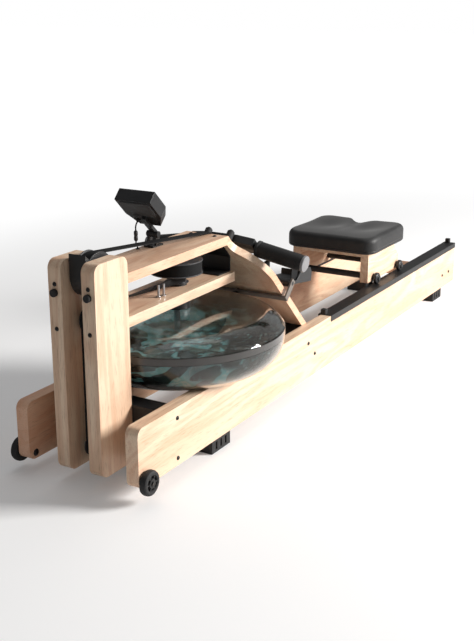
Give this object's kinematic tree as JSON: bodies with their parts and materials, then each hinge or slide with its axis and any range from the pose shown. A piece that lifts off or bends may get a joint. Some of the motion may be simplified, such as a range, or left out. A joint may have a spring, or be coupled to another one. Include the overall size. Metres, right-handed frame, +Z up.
{
  "type": "rowing machine",
  "caption": "Wooden water-resistance rowing machine with a sliding seat, round water tank, strap-drawn handle, adjustable footrest and tilting monitor.",
  "frame": {"origin": "centre of the overall box, on the floor", "axes": "+X from the water tank back towards the seat and the rear end, +Y to the left of someone who stands at the tank and looks towards the seat, +Z up"},
  "size_m": [2.108, 0.552, 0.6387],
  "materials": {
    "ash_wood": "satin lacquered",
    "track_metal": "satin",
    "black_rubber": "matte",
    "caster_plastic": "matte",
    "black_steel": "satin powder coat",
    "bolt_steel": "black oxide",
    "black_plastic": "fine texture",
    "pin_steel": "brushed",
    "tank_clear": "clear gloss",
    "seam_band": "gloss",
    "tank_water": "clear",
    "webbing": "woven",
    "cord_rubber": "satin",
    "cap_grey": "matte",
    "seat_foam": "matte grain",
    "wheel_plastic": "satin",
    "screen_glass": "gloss"
  },
  "bodies": {
    "frame": {"rail_right": "ash_wood", "rail_left": "ash_wood", "post_right": "ash_wood", "post_left": "ash_wood", "top_deck": "ash_wood", "lower_deck": "ash_wood", "footboard": "ash_wood", "rear_cross_bar": "ash_wood", "seat_tracks": "track_metal", "rubber_stops": "black_rubber", "feet": "black_rubber", "handle_pegs": "black_rubber", "front_cross_member": "black_steel", "footboard_bracket": "black_steel", "deck_bracket": "black_steel", "frame_bolts": "bolt_steel", "pulley_axles": "bolt_steel", "pulley_guard": "black_plastic", "shaft_bearings": "black_plastic", "monitor_base": "black_plastic", "strap_guides": "pin_steel", "tank_lower": "tank_clear", "tank_upper": "tank_clear", "tank_rim": "seam_band", "water": "tank_water", "pull_strap_return": "webbing", "pull_strap": "webbing", "recoil_strap": "webbing", "bungee": "cord_rubber"},
    "handle": {"handle_core": "black_plastic", "handle_grips": "black_rubber", "grip_caps": "cap_grey"},
    "front_pulley": {"front_pulley": "black_plastic"},
    "recoil_pulley": {"recoil_pulley": "black_plastic"},
    "lower_pulley": {"lower_pulley": "black_plastic"},
    "drum": {"clutch_drum": "black_plastic", "clutch_bearing": "black_plastic", "drum_winding": "webbing"},
    "rotor": {"rotor_shaft": "bolt_steel", "paddle": "black_plastic"},
    "seat": {"seat_pad": "seat_foam", "seat_plate": "ash_wood", "carriage_boards": "ash_wood", "carriage_axles": "black_steel", "seat_guides": "black_plastic"},
    "wheel_front_left": {"seat_wheel_front_left": "wheel_plastic"},
    "wheel_front_right": {"seat_wheel_front_right": "wheel_plastic"},
    "wheel_rear_left": {"seat_wheel_rear_left": "wheel_plastic"},
    "wheel_rear_right": {"seat_wheel_rear_right": "wheel_plastic"},
    "transport_wheel_left": {"transport_wheel_left": "caster_plastic"},
    "transport_wheel_right": {"transport_wheel_right": "caster_plastic"},
    "footrest": {"footrest_yoke": "pin_steel"},
    "footrest_knob": {"footrest_knob": "black_plastic"},
    "pedals": {"pedals": "black_plastic", "toe_straps": "webbing"},
    "monitor": {"monitor_case": "black_plastic", "monitor_screen": "screen_glass", "monitor_arm": "black_plastic", "monitor_cable": "cord_rubber", "cable_plugs": "black_plastic"}
  },
  "joints": [
    {"name": "handle_pull", "type": "slide", "parent": "frame", "child": "handle", "axis": [1, 0, 0], "range_m": [0, 1.2], "stiffness_N_per_m": 20, "springref_m": -0.4},
    {"name": "front_pulley_spin", "type": "hinge", "parent": "frame", "child": "front_pulley", "pos_m": [-0.956, 0, 0.491], "axis": [0, 1, 0], "range_deg": [0, 1517]},
    {"name": "drum_spin", "type": "hinge", "parent": "frame", "child": "drum", "pos_m": [-0.621, 0, 0.42], "axis": [0, 0, 1], "range_deg": [0, 1039]},
    {"name": "recoil_pulley_spin", "type": "hinge", "parent": "frame", "child": "recoil_pulley", "pos_m": [-0.969, 0, 0.385], "axis": [0, 1, 0], "range_deg": [0, 1098]},
    {"name": "lower_pulley_spin", "type": "hinge", "parent": "frame", "child": "lower_pulley", "pos_m": [-0.975, 0, 0.078], "axis": [0, 1, 0], "range_deg": [0, 1418]},
    {"name": "paddle_spin", "type": "hinge", "parent": "frame", "child": "rotor", "pos_m": [-0.621, 0, 0.23], "axis": [0, 0, 1], "continuous": true},
    {"name": "seat_slide", "type": "slide", "parent": "frame", "child": "seat", "axis": [1, 0, 0], "range_m": [-0.36, 0.46]},
    {"name": "wheel_front_left_spin", "type": "hinge", "parent": "seat", "child": "wheel_front_left", "pos_m": [0.342, 0.1473, 0.2004], "axis": [0, 1, 0], "range_deg": [-1127, 1438]},
    {"name": "wheel_front_right_spin", "type": "hinge", "parent": "seat", "child": "wheel_front_right", "pos_m": [0.342, -0.1473, 0.2004], "axis": [0, 1, 0], "range_deg": [-1127, 1438]},
    {"name": "wheel_rear_left_spin", "type": "hinge", "parent": "seat", "child": "wheel_rear_left", "pos_m": [0.541, 0.1473, 0.2004], "axis": [0, 1, 0], "range_deg": [-1127, 1438]},
    {"name": "wheel_rear_right_spin", "type": "hinge", "parent": "seat", "child": "wheel_rear_right", "pos_m": [0.541, -0.1473, 0.2004], "axis": [0, 1, 0], "range_deg": [-1127, 1438]},
    {"name": "transport_wheel_left_spin", "type": "hinge", "parent": "frame", "child": "transport_wheel_left", "pos_m": [-1.024, 0.1856, 0.049], "axis": [0, 1, 0], "continuous": true},
    {"name": "transport_wheel_right_spin", "type": "hinge", "parent": "frame", "child": "transport_wheel_right", "pos_m": [-1.024, -0.1856, 0.049], "axis": [0, 1, 0], "continuous": true},
    {"name": "footrest_slide", "type": "slide", "parent": "frame", "child": "footrest", "axis": [0.7133, 0, -0.7009], "range_m": [-0.05, 0.09]},
    {"name": "footrest_knob_turn", "type": "hinge", "parent": "footrest", "child": "footrest_knob", "pos_m": [-0.31483, 0, 0.29135], "axis": [0.7009, 0, 0.7133], "range_deg": [-180, 180]},
    {"name": "pedal_tilt", "type": "hinge", "parent": "footrest", "child": "pedals", "pos_m": [-0.27867, 0, 0.32815], "axis": [0, 1, 0], "range_deg": [-20, 24]},
    {"name": "monitor_tilt", "type": "hinge", "parent": "frame", "child": "monitor", "pos_m": [-0.661, 0.04, 0.519], "axis": [0, 1, 0], "range_deg": [0, 40]}
  ],
  "couplings": [
    {"joint": "front_pulley_spin", "follows": "handle_pull", "rad_per_m": 21.978},
    {"joint": "drum_spin", "follows": "handle_pull", "rad_per_m": 15.038},
    {"joint": "recoil_pulley_spin", "follows": "handle_pull", "rad_per_m": 15.889},
    {"joint": "lower_pulley_spin", "follows": "handle_pull", "rad_per_m": 20.539},
    {"joint": "wheel_front_left_spin", "follows": "seat_slide", "rad_per_m": 54.348},
    {"joint": "wheel_front_right_spin", "follows": "seat_slide", "rad_per_m": 54.348},
    {"joint": "wheel_rear_left_spin", "follows": "seat_slide", "rad_per_m": 54.348},
    {"joint": "wheel_rear_right_spin", "follows": "seat_slide", "rad_per_m": 54.348}
  ]
}
